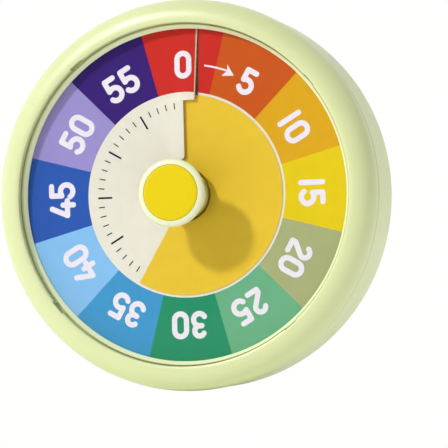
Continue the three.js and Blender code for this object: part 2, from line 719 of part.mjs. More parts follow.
// ---------------------------------------------------------------- battery door
function batteryDoor() {
  const half = DOOR.thickness / 2;
  const [left, right] = [DOOR.x - DOOR.halfWidth, DOOR.x + DOOR.halfWidth];
  const slab = block(left, right, DOOR.hingeZ, DOOR.topZ, 0, DOOR.thickness);
  const grooves = [0, 1, 2].map((i) => block(DOOR.x - 4, DOOR.x + 4,
    DOOR.topZ - 4 - i * 1.6, DOOR.topZ - 3.2 - i * 1.6, -1, 0.4));
  return shaped(slab, {
    add: [rodX(left, right, DOOR.hingeZ, half, half, 24)],
    cut: grooves,
  });
}
part('battery_door', batteryDoor(), PALE_GREEN, 0.5);

// ---------------------------------------------------------------- stand
function standLeg() {
  const outline = roundedRect(-STAND.halfWidth, STAND.halfWidth, STAND.tipZ, STAND.hingeZ, 4);
  const window = roundedRect(-9, 9, STAND.tipZ + 14, STAND.hingeZ - 12, 4);
  const square = block(-STAND.halfWidth, STAND.halfWidth, STAND.hingeZ - 5, STAND.hingeZ, 0.4, 4.2);
  const barrel = rodX(-STAND.halfWidth, STAND.halfWidth, STAND.hingeZ, STAND.hingeD, STAND.barrelR, 20);
  const bore = rodX(-20, 20, STAND.hingeZ, STAND.hingeD, STAND.pinR + 0.15, 16);
  return shaped(plate(outline, 0.4, 4.2, 4), {
    add: [square, barrel],
    cut: [plate(window, 0, 5, 4), bore],
  });
}
part('stand_leg', standLeg(), PALE_GREEN, 0.5);
part('stand_pin', rodX(-17.6, 17.6, STAND.hingeZ, STAND.hingeD, STAND.pinR, 16), STEEL, 0.3, 0.9);

export default timer;
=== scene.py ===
"""The looks of a round sixty-minute visual countdown timer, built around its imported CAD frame.

Helpers work in millimetres and Blender holds metres. A depth is how far a point stands in front of the wall,
so y = -depth. Angles on the dial are degrees clockwise from the top, as seen from the front.
"""

import json
import math

import bmesh
import bpy
import numpy as np
from mathutils import Matrix, Vector

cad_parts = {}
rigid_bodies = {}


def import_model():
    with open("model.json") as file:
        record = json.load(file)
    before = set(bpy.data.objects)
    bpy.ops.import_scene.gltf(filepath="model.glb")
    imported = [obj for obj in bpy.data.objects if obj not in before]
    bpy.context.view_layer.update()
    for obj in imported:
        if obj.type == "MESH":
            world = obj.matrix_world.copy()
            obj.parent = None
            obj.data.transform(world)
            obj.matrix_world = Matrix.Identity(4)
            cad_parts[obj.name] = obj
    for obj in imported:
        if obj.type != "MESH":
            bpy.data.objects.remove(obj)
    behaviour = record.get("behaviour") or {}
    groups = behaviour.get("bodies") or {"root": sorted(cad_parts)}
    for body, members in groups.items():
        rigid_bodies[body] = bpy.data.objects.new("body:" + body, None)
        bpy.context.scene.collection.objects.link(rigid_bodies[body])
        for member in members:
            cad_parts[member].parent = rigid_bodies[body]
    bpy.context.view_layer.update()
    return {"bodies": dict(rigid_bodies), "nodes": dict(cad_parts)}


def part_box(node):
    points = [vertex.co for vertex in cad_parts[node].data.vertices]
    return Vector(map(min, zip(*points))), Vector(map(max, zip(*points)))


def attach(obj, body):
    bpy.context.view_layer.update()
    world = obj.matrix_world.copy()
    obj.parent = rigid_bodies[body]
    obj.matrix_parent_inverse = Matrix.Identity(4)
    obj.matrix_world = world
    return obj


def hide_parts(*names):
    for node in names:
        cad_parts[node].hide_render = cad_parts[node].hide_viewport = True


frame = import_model()

MM = 0.001


# ---------------------------------------------------------------- sizes, read from the frame
def front(node):
    """Depth of a node's front, in millimetres."""
    return -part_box(node)[0].y / MM


def back(node):
    return -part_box(node)[1].y / MM


def radius(node):
    """Radius of a turned node about the knob axis, in millimetres."""
    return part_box(node)[1].x / MM


def middle(node):
    """Middle of a node's box as (x, depth, z), in millimetres."""
    lo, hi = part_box(node)
    mid = (lo + hi) / 2 / MM
    return mid.x, -mid.y, mid.z


OUTER_R = radius("front_bezel")
CASE_R = radius("rear_case")
DIAL_R = radius("chassis_plate")
CAP_R = radius("knob_cap")

TUBE_R = 10  # rounded front of the bezel
BEZEL_FRONT = front("front_bezel")
TUBE_D = BEZEL_FRONT - TUBE_R
SEAM_BACK = front("rear_case")
WINDOW_R = OUTER_R - 13.6
LENS_BACK = back("clear_lens")
LENS_FRONT = front("clear_lens")
DIAL_T = 1
DIAL_BACK = back("dial_plate")
DIAL_D = DIAL_BACK + DIAL_T  # printed face
FLAP_RISE = front("dial_plate") - DIAL_D
FLAP_ARC = 25  # degrees over which the slit's left-hand edge rises
HUB_HOLE_R = 16.3
JOG_R = 43.3  # where the slit steps to the right
JOG_STEP = 5.6
JOG_BLEND = 0.6  # width over which it steps
SLIT_LEAN = 0.048  # how far it drifts to the right for each millimetre beyond the step
SLIT_W = 0.8  # gap to the right of the slit's lifted edge
RIM_R = WINDOW_R - 0.4
RIM_FALL = 29.5  # width over which the lifted edge comes down to the rim
PRINT_R = 47.2  # inner edge of the coloured ring
PRINT_MARGIN = 0.45  # unprinted strip along the slit
PRINT_LIFT = 0.05

FILM_T = 0.2
FILM_LIFT = 0.15
FILM_IN_R = 9.3
FILM_R = 46
SHOWN = 210.7  # degrees of film shown at rest: just over 35 minutes
FILM_ARC = 358

CASE_FLOOR = 2.2  # thickness of the case's back wall
NECK_R = 10.8
KNOB_BACK = back("knob_body")
KNOB_FRONT = front("knob_cap")


def srgb(red, green, blue):
    """Linear colour from 8-bit sRGB numbers."""
    def linear(value):
        v = value / 255
        return v / 12.92 if v <= 0.04045 else ((v + 0.055) / 1.055) ** 2.4
    return (linear(red), linear(green), linear(blue), 1.0)


GLOSS_HAZE = 0.012  # white that a surface's gloss adds to its colour in this light


def lit(red, green, blue, light=1.0):
    """The colour of a surface that looks like these sRGB numbers under an amount of light."""
    return tuple(max(c - GLOSS_HAZE, 0.002) / light for c in srgb(red, green, blue)[:3]) + (1.0,)


OPEN_LIGHT = 1.27  # light on parts that stand clear, against 1 on the dial under its lens
GREEN = lit(228, 236, 175, OPEN_LIGHT)
YELLOW = lit(242, 215, 24, OPEN_LIGHT)
CREAM = lit(235, 231, 215)
WHITE = srgb(226, 224, 212)
FILM = lit(235, 198, 60)
INK = lit(16, 12, 62)
NUMERAL = lit(240, 234, 243)
SECTORS = [
    lit(206, 50, 42), lit(204, 90, 34), lit(224, 170, 36), lit(232, 205, 28),
    lit(171, 177, 125), lit(110, 179, 136), lit(45, 146, 105), lit(70, 154, 206),
    lit(137, 194, 241), lit(50, 92, 179), lit(158, 147, 208), lit(62, 38, 119),
]  # the numbers 0, 5, 10 and so on to 55


# ---------------------------------------------------------------- outlines
def arc(cx, cy, r, start, end, steps):
    """Points on a circle from one angle to another, in degrees from the first axis."""
    angles = [math.radians(start + (end - start) * i / steps) for i in range(steps + 1)]
    return [(cx + r * math.cos(a), cy + r * math.sin(a)) for a in angles]


def rounded(corners, steps=5):
    """An open outline from (a, b, fillet radius) corners. A smooth curve stands in for each fillet's arc."""
    out = []
    for i, (a, b, r) in enumerate(corners):
        if r <= 0 or i in (0, len(corners) - 1):
            out.append((a, b))
            continue
        p = Vector((a, b))
        to_last = Vector(corners[i - 1][:2]) - p
        to_next = Vector(corners[i + 1][:2]) - p
        half = to_last.angle(to_next) / 2
        reach = min(r / math.tan(half), 0.49 * to_last.length, 0.49 * to_next.length)
        start = p + to_last.normalized() * reach
        end = p + to_next.normalized() * reach
        for k in range(steps + 1):
            t = k / steps
            point = start * (1 - t) ** 2 + p * 2 * t * (1 - t) + end * t ** 2
            out.append((point.x, point.y))
    return out


def rounded_rect(x0, x1, z0, z1, r, steps=6):
    corners = [(x1 - r, z0 + r, -90), (x1 - r, z1 - r, 0), (x0 + r, z1 - r, 90), (x0 + r, z0 + r, 180)]
    return [p for cx, cz, a in corners for p in arc(cx, cz, r, a, a + 90, steps)]


# ---------------------------------------------------------------- meshes
def added(name, data):
    """A new object in the scene."""
    obj = bpy.data.objects.new(name, data)
    bpy.context.scene.collection.objects.link(obj)
    return obj


def mesh_from(name, bm):
    mesh = bpy.data.meshes.new(name)
    bm.to_mesh(mesh)
    bm.free()
    return mesh


def resharpen(obj, sharp=32):
    """Shades a mesh smooth apart from edges that turn by more than the sharp angle."""
    obj.data.shade_smooth()
    obj.data.set_sharp_from_angle(angle=math.radians(sharp))
    return obj


def finished(name, bm, sharp=32):
    """A smooth mesh object from a bmesh."""
    bmesh.ops.remove_doubles(bm, verts=bm.verts, dist=1e-7)
    bmesh.ops.recalc_face_normals(bm, faces=bm.faces)
    return resharpen(added(name, mesh_from(name, bm)), sharp)


def ring_faces(bm, rings, closed_ring=True):
    for a, b in zip(rings, rings[1:]):
        count = len(a)
        for i in range(count if closed_ring else count - 1):
            j = (i + 1) % count
            quad = [a[i], a[j], b[j], b[i]]
            corners = [v for k, v in enumerate(quad) if v is not quad[k - 1]]
            if len(corners) > 2:
                bm.faces.new(corners)


def turned_bmesh(outline, segments):
    """A solid turned about the knob axis from (radius, depth) points."""
    bm = bmesh.new()
    on_axis = outline[0][0] < 1e-6 or outline[-1][0] < 1e-6
    points = outline if on_axis else outline + outline[:1]
    rings = []
    for r, d in points:
        if r < 1e-6:
            rings.append([bm.verts.new((0, -d * MM, 0))] * segments)
            continue
        rings.append([
            bm.verts.new((r * MM * math.sin(a), -d * MM, r * MM * math.cos(a)))
            for a in (2 * math.pi * k / segments for k in range(segments))
        ])
    ring_faces(bm, rings)
    return bm


def turned(name, outline, segments=192, sharp=32):
    return finished(name, turned_bmesh(outline, segments), sharp)


def lofted_bmesh(rings):
    """A closed solid through rings of (x, depth, z) points."""
    bm = bmesh.new()
    made = [[bm.verts.new((x * MM, -d * MM, z * MM)) for x, d, z in ring] for ring in rings]
    ring_faces(bm, made)
    bm.faces.new(made[0])
    bm.faces.new(list(reversed(made[-1])))
    return bm


def levels(outline_at, steps):
    """Rings of one outline at several depths: steps are (depth, how far the outline grows)."""
    return [[(x, depth, z) for x, z in outline_at(grow)] for depth, grow in steps]


def slab(name, outline_at, d0, d1, edge, sharp=40):
    """A flat piece between two depths with rounded rims of radius edge."""
    quarter = [(edge * (1 - math.sin(a)), -edge * (1 - math.cos(a))) for a in
               (math.radians(t) for t in (0, 30, 60, 90))]
    low = [(d0 + rise, shrink) for rise, shrink in reversed(quarter)]
    high = [(d1 - rise, shrink) for rise, shrink in quarter]
    return finished(name, lofted_bmesh(levels(outline_at, low + high)), sharp)


def combine(target, tool, operation):
    """Joins a tool to a target or cuts it away, leaving one clean mesh."""
    modifier = target.modifiers.new("tool", "BOOLEAN")
    modifier.operation = operation
    modifier.solver = "EXACT"
    modifier.object = tool
    graph = bpy.context.evaluated_depsgraph_get()
    result = bpy.data.meshes.new_from_object(target.evaluated_get(graph))
    target.modifiers.clear()
    target.data = result
    bpy.data.objects.remove(tool)


def cut(target, tools):
    combine(target, merged("cutters", tools), "DIFFERENCE")


def join(target, name, tools):
    combine(target, merged(name, tools), "UNION")


def merged(name, bms):
    """One object from several separate bmeshes."""
    whole = bmesh.new()
    for bm in bms:
        bmesh.ops.recalc_face_normals(bm, faces=bm.faces)
        mesh = mesh_from("part", bm)
        whole.from_mesh(mesh)
        bpy.data.meshes.remove(mesh)
    return finished(name, whole)


def moved(bm, matrix):
    bmesh.ops.transform(bm, matrix=matrix, verts=bm.verts)
    return bm


def shift(x, depth, z):
    return Matrix.Translation((x * MM, -depth * MM, z * MM))


def quarter_turn(axis):
    return Matrix.Rotation(math.radians(90), 4, axis)


def pin_bmesh(outline, segments, depth, z):
    """A solid turned about a line along X, from (radius, x) points."""
    bm = moved(turned_bmesh(outline, segments), quarter_turn("Z"))
    return moved(bm, shift(0, depth, z))


# ---------------------------------------------------------------- materials
class Nodes:
    """A node tree under construction."""

    def __init__(self, tree):
        self.tree = tree

    def plug(self, value, socket):
        """Sets a socket to a value, or links another node's output to it."""
        if hasattr(value, "is_linked"):
            self.tree.links.new(value, socket)
        else:
            socket.default_value = value

    def node(self, kind, inputs=(), **settings):
        """A new node with its settings and a dictionary of its inputs, by name or number."""
        made = self.tree.nodes.new(kind)
        for key, value in settings.items():
            setattr(made, key, value)
        for socket, value in dict(inputs).items():
            self.plug(value, made.inputs[socket])
        return made


class Shader(Nodes):
    """A material: a Principled surface with procedural inputs."""

    def __init__(self, name):
        self.material = bpy.data.materials.new(name)
        self.material.use_nodes = True
        super().__init__(self.material.node_tree)
        self.surface = self.tree.nodes["Principled BSDF"]
        self.coords = self.node("ShaderNodeTexCoord").outputs["Object"]

    def noise(self, scale, detail=3.0, stretch=(1, 1, 1)):
        """Noise with a grain size of about 1 / scale metres."""
        mapping = self.node("ShaderNodeMapping", {"Vector": self.coords, "Scale": stretch})
        inputs = {"Vector": mapping.outputs["Vector"], "Scale": scale, "Detail": detail}
        return self.node("ShaderNodeTexNoise", inputs).outputs["Fac"]

    def spread(self, source, low, high, start=0.3, end=0.7):
        """A value that runs from low to high as the source runs from start to end."""
        inputs = {"Value": source, "From Min": start, "From Max": end, "To Min": low, "To Max": high}
        return self.node("ShaderNodeMapRange", inputs).outputs["Result"]

    def mix(self, factor, first, second):
        """A colour between two others. The numbers are the node's sockets for colours."""
        return self.node("ShaderNodeMix", {0: factor, 6: first, 7: second}, data_type="RGBA").outputs[2]

    def bump(self, height, distance, strength=1.0, edge=0.0):
        """Surface relief, over edges softened by a small radius, all in millimetres."""
        inputs = {"Height": height, "Distance": distance * MM, "Strength": strength}
        made = self.node("ShaderNodeBump", inputs)
        if edge > 0:
            soft = self.node("ShaderNodeBevel", {"Radius": edge * MM}, samples=4)
            self.plug(soft.outputs["Normal"], made.inputs["Normal"])
        self.plug(made.outputs["Normal"], self.surface.inputs["Normal"])

    def set(self, **values):
        """Sets the surface's inputs, with _ for a space in a name."""
        for key, value in values.items():
            self.plug(value, self.surface.inputs[key.replace("_", " ")])


def shade(color, factor):
    return tuple(min(c * factor, 1.0) for c in color[:3]) + (1.0,)


def plastic(name, color, roughness=0.42, grain=0.012, edge=0.2, soft=0.0, gloss=0.5):
    """Moulded plastic: faint flow clouding, a fine spark-eroded grain and softened edges."""
    s = Shader(name)
    cloud = s.noise(22, 2)
    s.set(Base_Color=s.mix(s.spread(cloud, 0, 1), shade(color, 0.975), shade(color, 1.015)))
    s.set(Roughness=s.spread(s.noise(260, 4), roughness - 0.05, roughness + 0.06))
    s.set(Specular_IOR_Level=gloss, Subsurface_Weight=soft, Subsurface_Scale=0.001)
    s.bump(s.noise(2600, 2), grain, 1.0, edge)
    return s.material


def printed(name, color, roughness=0.46):
    """Screen-printed ink on a styrene sheet, with a light mottle and a fine stipple."""
    s = Shader(name)
    mottle = s.noise(160, 5)
    s.set(Base_Color=s.mix(s.spread(mottle, 0, 1), shade(color, 0.965), shade(color, 1.02)))
    s.set(Roughness=s.spread(s.noise(700, 2), roughness - 0.05, roughness + 0.07))
    s.set(Specular_IOR_Level=0.15)
    s.bump(s.noise(3200, 1), 0.006)
    return s.material


def metal(name, color, roughness=0.3, stretch=(1, 30, 1), scale=180):
    """Drawn or plated metal with fine streaks."""
    s = Shader(name)
    streak = s.noise(scale, 4, stretch)
    s.set(Base_Color=s.mix(s.spread(streak, 0, 1), shade(color, 0.86), color), Metallic=1.0)
    s.set(Roughness=s.spread(streak, roughness - 0.08, roughness + 0.1))
    s.bump(streak, 0.01, 1.0, 0.12)
    return s.material


def banded(name, first, second, pitch, direction="Z", metallic=0.0, roughness=0.4, relief=0.05):
    """Fine parallel bands, for wound wire and ribbed surfaces."""
    s = Shader(name)
    inputs = {"Vector": s.coords, "Scale": math.pi / 10 / (pitch * MM)}
    wave = s.node("ShaderNodeTexWave", inputs, bands_direction=direction)
    s.set(Base_Color=s.mix(wave.outputs["Fac"], first, second), Metallic=metallic, Roughness=roughness)
    s.bump(wave.outputs["Fac"], relief)
    return s.material


def lens_material():
    """Clear acrylic: light passes straight through, with a Fresnel reflection on the outer faces."""
    material = bpy.data.materials.new("clear_acrylic")
    material.use_nodes = True
    nodes = Nodes(material.node_tree)
    nodes.tree.nodes.clear()
    coords = nodes.node("ShaderNodeTexCoord").outputs["Object"]
    ripple = nodes.node("ShaderNodeTexNoise", {"Vector": coords, "Scale": 14}).outputs["Fac"]
    relief = nodes.node("ShaderNodeBump", {"Height": ripple, "Distance": 0.02 * MM}).outputs["Normal"]
    clear = nodes.node("ShaderNodeBsdfTransparent", {"Color": (0.956, 0.957, 0.957, 1)})
    gloss = nodes.node("ShaderNodeBsdfGlossy", {"Roughness": 0.05, "Normal": relief})
    fresnel = nodes.node("ShaderNodeFresnel", {"IOR": 1.2}).outputs["Fac"]
    inside = nodes.node("ShaderNodeNewGeometry").outputs["Backfacing"]
    share = nodes.node("ShaderNodeMath", {0: fresnel, 1: inside}, operation="SUBTRACT", use_clamp=True)
    inputs = {0: share.outputs["Value"], 1: clear.outputs["BSDF"], 2: gloss.outputs["BSDF"]}
    mixer = nodes.node("ShaderNodeMixShader", inputs)
    nodes.node("ShaderNodeOutputMaterial", {"Surface": mixer.outputs["Shader"]})
    return material


def board_material():
    """Green solder mask with paler copper traces under it."""
    s = Shader("solder_mask")
    cells = s.node("ShaderNodeTexVoronoi", {"Vector": s.coords, "Scale": 170}, feature="DISTANCE_TO_EDGE")
    trace = s.spread(cells.outputs["Distance"], 1, 0, 0.05, 0.09)
    s.set(Base_Color=s.mix(trace, srgb(22, 84, 44), srgb(44, 122, 66)), Roughness=0.35)
    s.bump(trace, 0.03)
    return s.material


def wrap_material():
    """A dry cell's printed sleeve: a copper-coloured band at the top over a dark sleeve."""
    s = Shader("cell_sleeve")
    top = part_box("battery_cell")[1].z
    height = s.node("ShaderNodeSeparateXYZ", {"Vector": s.coords})
    band = s.spread(height.outputs["Z"], 0, 1, top - 14.5 * MM, top - 14.2 * MM)
    scuff = s.noise(900, 4, (1, 1, 0.2))
    dark = s.mix(s.spread(scuff, 0, 1), srgb(30, 31, 35), srgb(42, 43, 48))
    bright = s.mix(s.spread(scuff, 0, 1), srgb(176, 108, 58), srgb(196, 126, 72))
    s.set(Base_Color=s.mix(band, dark, bright), Roughness=0.3, Metallic=0.35)
    s.bump(scuff, 0.01)
    return s.material


GREEN_PLASTIC = plastic("pale_green_plastic", GREEN, 0.4, soft=0.08, gloss=0.8)
# A paler copy of the bezel's green, as painted light: it gives the whiter look of the knob's ring where the
# ring stands clear in the light.
KNOB_PAINTED_LIGHT_PLASTIC = plastic("knob_green_painted_light", lit(246, 250, 206, OPEN_LIGHT), 0.36, soft=0.08)
# Painted light: the ledge under the lens is a paler green than the bezel's, with a faint glow of its own, to
# paint in the bright strip seen through the lens.
LEDGE_GLOW_PLASTIC = plastic("ledge_painted_glow", srgb(238, 244, 200), 0.4)
LEDGE_GLOW_SURFACE = LEDGE_GLOW_PLASTIC.node_tree.nodes["Principled BSDF"]
LEDGE_GLOW_SURFACE.inputs["Emission Color"].default_value = srgb(226, 240, 180)
LEDGE_GLOW_SURFACE.inputs["Emission Strength"].default_value = 0.07  # light that the lens pipes to its edge
YELLOW_PLASTIC = plastic("yellow_plastic", YELLOW, 0.5, gloss=0.12)
WHITE_PLASTIC = plastic("white_plastic", WHITE, 0.5)
BLACK_PLASTIC = plastic("black_plastic", srgb(38, 40, 43), 0.45)
STEEL = metal("zinc_plated_steel", srgb(190, 193, 198))
BRASS = metal("brass", srgb(206, 170, 88))
COPPER = banded("copper_winding", srgb(148, 70, 34), srgb(204, 120, 70), 0.36, "X", 0.9, 0.35)
FILM_MATERIAL = printed("yellow_film", FILM, 0.4)
CREAM_PRINT = printed("cream_print", CREAM)
# The sheet's bare edges and the unprinted strip by the slit are white styrene, painted tan for red light
# bounced onto them from the print beside them.
DIAL_EDGE_PAINTED_BOUNCE = plastic("white_styrene_painted_bounce", srgb(214, 170, 132), 0.5)
SECTOR_PRINTS = [printed(f"print_{5 * i:02d}", color) for i, color in enumerate(SECTORS)]
NUMERAL_PRINT = printed("numeral_print", NUMERAL)
INK_PRINT = printed("ink_print", INK)
BOARD = board_material()
RED_WIRE = plastic("red_sleeve", srgb(178, 40, 32), 0.4, 0.02)
BLACK_WIRE = plastic("black_sleeve", srgb(34, 35, 38), 0.4, 0.02)


def place(obj, material, body, slot, *nodes):
    """Gives a piece its material and body, and hides the CAD nodes it stands for."""
    if material is not None:
        obj.data.materials.clear()
        obj.data.materials.append(material)
    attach(obj, body)
    if nodes:
        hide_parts(*nodes)


# ---------------------------------------------------------------- case
LENS_R = 78.3
LENS_HOLE_R = 12.3
TAB_BEARINGS = (39, 129, 219, 309)  # the lens's locating tabs
TAB_REACH = 79.2
TAB_HALF = 3.2
LIP = dict(outer=86.7, inner=85.2, back=27.8)  # the bezel's rear lip, inside the case
POST = dict(r=2.8, bore=1.45, back=2.6, front=43.2, bore_end=20)  # takes a case screw


def circle_at(x, z, r, steps=40):
    """The outline of a circle, which can grow."""
    return lambda grow: arc(x, z, r + grow, 0, 360 - 360 / steps, steps - 1)


def rect_at(x0, x1, z0, z1, r, steps=6):
    """The outline of a rounded rectangle, which can grow."""
    return lambda grow: rounded_rect(x0 - grow, x1 + grow, z0 - grow, z1 + grow, max(r + grow, 0.05), steps)


def tab_blocks(reach, half, d0, d1):
    """Blocks that stand out from the lens's edge at its tabs."""
    blocks = []
    for bearing in TAB_BEARINGS:
        bm = lofted_bmesh(levels(rect_at(LENS_R - 1, reach, -half, half, 0.3), [(d0, 0), (d1, 0)]))
        blocks.append(moved(bm, Matrix.Rotation(math.radians(-bearing), 4, "Y")))
    return blocks


def case_screw_spots():
    return [(middle(f"case_screw_{i}")[0], middle(f"case_screw_{i}")[2]) for i in (1, 2, 3, 4)]


def screw_post(x, z):
    """A hollow post with its bore open to the back."""
    outline = [
        (0, POST["bore_end"]), (POST["bore"], POST["bore_end"]), (POST["bore"], POST["back"]),
        (POST["r"], POST["back"]), (POST["r"], POST["front"]), (0, POST["front"]),
    ]
    return moved(turned_bmesh(outline, 32), shift(x, 0, z))


def bezel():
    ring_r = OUTER_R - TUBE_R
    wall_r = DIAL_R + 0.2
    ledge = LENS_BACK - 0.3
    window = rounded([
        (wall_r + 1.9, DIAL_D + 0.3, 0),
        (WINDOW_R, DIAL_D + 0.3, 0),
        (WINDOW_R, DIAL_D + 0.6, 0.15),
        (LENS_R - 0.5, ledge, 0.4),
        (LENS_R, ledge, 0.1),
        (LENS_R, ledge - 0.4, 0),
        (wall_r, ledge - 0.4, 0),
        (wall_r, BEZEL_FRONT - 0.9, 0),
        (wall_r + 0.2, BEZEL_FRONT - 0.3, 0.8),
        (ring_r, BEZEL_FRONT, 0),
    ])
    outside = arc(ring_r, TUBE_D, TUBE_R, 88, 0, 30)
    rim = rounded([
        (OUTER_R, TUBE_D, 0),
        (OUTER_R, SEAM_BACK + 2.7, 2),
        (OUTER_R - 1.1, SEAM_BACK + 0.6, 0.3),
        (LIP["outer"], SEAM_BACK + 0.6, 0),
        (LIP["outer"], LIP["back"], 0.2),
        (LIP["inner"], LIP["back"], 0.2),
        (LIP["inner"], SEAM_BACK + 1.5, 0),
    ])
    inside = arc(ring_r, TUBE_D, TUBE_R - 2.2, -15, 84, 10)
    obj = turned("bezel_shell", window[:-1] + outside + rim[1:] + inside, 256)
    join(obj, "posts", [screw_post(x, z) for x, z in case_screw_spots()])
    cut(obj, tab_blocks(TAB_REACH + 0.3, TAB_HALF + 0.3, ledge, BEZEL_FRONT + 1))
    place(resharpen(obj), GREEN_PLASTIC, "case", "pale_green_plastic", "front_bezel")
    # The ledge faces under the lens take the painted-glow material.
    obj.data.materials.append(LEDGE_GLOW_PLASTIC)
    for face in obj.data.polygons:
        r = math.hypot(face.center.x, face.center.z) / MM
        under_lens = WINDOW_R < r < LENS_R and -face.center.y / MM < ledge + 0.1
        if under_lens and face.normal.y < -0.2:
            face.material_index = 1


def well(outline_at, depth, chamfer=0.3):
    """A cutter from behind the back wall to a depth, with a chamfered mouth."""
    return lofted_bmesh(levels(outline_at, [(-1, chamfer), (0, chamfer), (chamfer, 0), (depth, 0)]))


def keyhole_at(grow):
    """The outline of the keyhole in the back: a round head with a slot above it."""
    head_r, slot_r = 4.2 + grow, 2.1 + grow
    meet = math.degrees(math.acos(slot_r / head_r))
    head = arc(0, 58, head_r, 180 - meet, 360 + meet, 30)
    return head + arc(0, 66, slot_r, 0, 180, 14)


STAND_LO, STAND_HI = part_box("stand_leg")
STAND_HALF = STAND_HI.x / MM
STAND_TIP = STAND_LO.z / MM
_, HINGE_D, HINGE_Z = middle("stand_pin")
DOOR_X0, DOOR_X1 = (corner.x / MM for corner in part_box("battery_door"))
DOOR_Z0, DOOR_Z1 = (corner.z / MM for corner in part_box("battery_door"))
SLIDER_X, _, SLIDER_Z = middle("alarm_slider")
BUZZER_X, _, BUZZER_Z = middle("buzzer")
SLIDER_TRAVEL = 6


def rear_case():
    floor_r = 84.6  # inside radius of the case at its back wall
    outline = rounded([
        (0, 0, 0),
        (85.2, 0, 3),
        (88, 2.2, 3),
        (CASE_R, SEAM_BACK - 1.9, 2),
        (CASE_R - 0.9, SEAM_BACK, 0.2),
        (CASE_R - 2.2, SEAM_BACK, 0),
        (floor_r + 1.3, 4, 1.5),
        (floor_r, CASE_FLOOR, 0),
        (0, CASE_FLOOR, 0),
    ], 8)
    obj = turned("case_shell", outline, 256)
    half, z0, z1 = STAND_HALF + 0.5, STAND_TIP - 1, HINGE_Z + 5  # pocket of the stand
    pocket_depth, wall = 6.6, 2
    pocket_wall = rect_at(-half - wall, half + wall, z0 - wall, z1 + wall, 2)
    join(obj, "pocket", [lofted_bmesh(levels(pocket_wall, [(1, 0), (pocket_depth + wall, 0)]))])
    end = 2.2  # from the slider's middle to the edges of its slot
    slot = rect_at(SLIDER_X - end, SLIDER_X + end, SLIDER_Z - end, SLIDER_Z + SLIDER_TRAVEL + end, 0.6)
    cutters = [
        well(rect_at(-half, half, z0, z1, 1.2), pocket_depth),
        well(rect_at(DOOR_X0 - 0.3, DOOR_X1 + 0.3, DOOR_Z0 - 0.3, DOOR_Z1 + 0.3, 0.6), 3),
        well(slot, 3),
        well(keyhole_at, 3),
    ]
    for x, z in case_screw_spots():
        steps = [(-1, 0.3), (0, 0.3), (0.3, 0), (1.3, 0), (1.3, -1.4), (3, -1.4)]
        cutters.append(lofted_bmesh(levels(circle_at(x, z, 3.1), steps)))
    for x, z in [(0, 0)] + arc(0, 0, 4.5, 0, 300, 5):
        cutters.append(well(circle_at(BUZZER_X + x, BUZZER_Z + z, 1, 20), 3, 0.2))
    cut(obj, cutters)
    place(resharpen(obj), GREEN_PLASTIC, "case", "pale_green_plastic", "rear_case")


def lens():
    edge = 0.3
    start = 30  # the outline starts and ends on the flat back face
    bore_r = LENS_HOLE_R - 1
    obj = turned("lens_disc", rounded([
        (start, LENS_BACK, 0),
        (bore_r, LENS_BACK, 0.1),
        (bore_r, LENS_BACK + 0.3, 0.1),
        (LENS_HOLE_R + 0.3, LENS_FRONT, 0.2),
        (LENS_R, LENS_FRONT, edge),
        (LENS_R, LENS_BACK, edge),
        (start + 1, LENS_BACK, 0),
    ]), 192)
    inset = 0.05  # keeps the tabs' faces off the lens's own
    join(obj, "tabs", tab_blocks(TAB_REACH, TAB_HALF, LENS_BACK + inset, LENS_FRONT - inset))
    place(resharpen(obj), lens_material(), "case", "clear_plastic", "clear_lens")
    # Painted shade: the lens's rim takes a pale olive that darkens the groove round the lens. Its bore takes
    # a dark olive-brown for the knob's shadow, with the yellow film's colour painted in as if seen through
    # the acrylic.
    obj.data.materials.append(plastic("lens_rim_painted_shade", srgb(214, 218, 160), 0.3))
    obj.data.materials.append(plastic("lens_bore_painted_shade", srgb(112, 98, 22), 0.6, gloss=0.1))
    for face in obj.data.polygons:
        if abs(face.normal.y) < 0.97:
            in_bore = math.hypot(face.center.x, face.center.z) < 2 * LENS_HOLE_R * MM
            face.material_index = 2 if in_bore else 1


# ---------------------------------------------------------------- dial
def smooth(t):
    u = min(max(t, 0.0), 1.0)
    return u * u * (3 - 2 * u)


def slit_angle(r):
    """Clockwise angle of the slit: the zero line near the hub, then a step to the right."""
    offset = JOG_STEP * smooth((r - JOG_R) / JOG_BLEND) + SLIT_LEAN * max(r - JOG_R, 0)
    return math.degrees(math.asin(offset / r))


def flap_rise(before, r):
    """Height of the lifted left-hand edge, some degrees before the slit."""
    return FLAP_RISE * smooth((FLAP_ARC - before) / FLAP_ARC) * min(max((RIM_R - r) / RIM_FALL, 0), 1)


def dial_depth(angle, r):
    """Depth of the printed face at an angle and radius."""
    past = (angle - slit_angle(r)) % 360
    return DIAL_D + flap_rise(360 - past, r)


def on_dial(x, z, lift=PRINT_LIFT):
    r = math.hypot(x, z)
    angle = math.degrees(math.atan2(x, z))
    return (x * MM, -(dial_depth(angle, r) + lift) * MM, z * MM)


def sheet_bmesh(radii, columns, spot, thickness):
    """A closed thin sheet on a grid: spot(radius, column) gives an angle and a depth."""
    bm = bmesh.new()
    top, under = [], []
    for r in radii:
        rows = ([], [])
        for column in columns:
            angle, depth = spot(r, column)
            x, z = r * math.sin(math.radians(angle)), r * math.cos(math.radians(angle))
            rows[0].append(bm.verts.new((x * MM, -depth * MM, z * MM)))
            rows[1].append(bm.verts.new((x * MM, -(depth - thickness) * MM, z * MM)))
        top.append(rows[0])
        under.append(rows[1])
    ring_faces(bm, top, False)
    ring_faces(bm, [row[::-1] for row in under], False)
    ring_faces(bm, [[row[0] for row in top], [row[0] for row in under]], False)
    ring_faces(bm, [[row[-1] for row in top][::-1], [row[-1] for row in under][::-1]], False)
    ring_faces(bm, [top[0][::-1], under[0][::-1]], False)
    ring_faces(bm, [top[-1], under[-1]], False)
    return bm


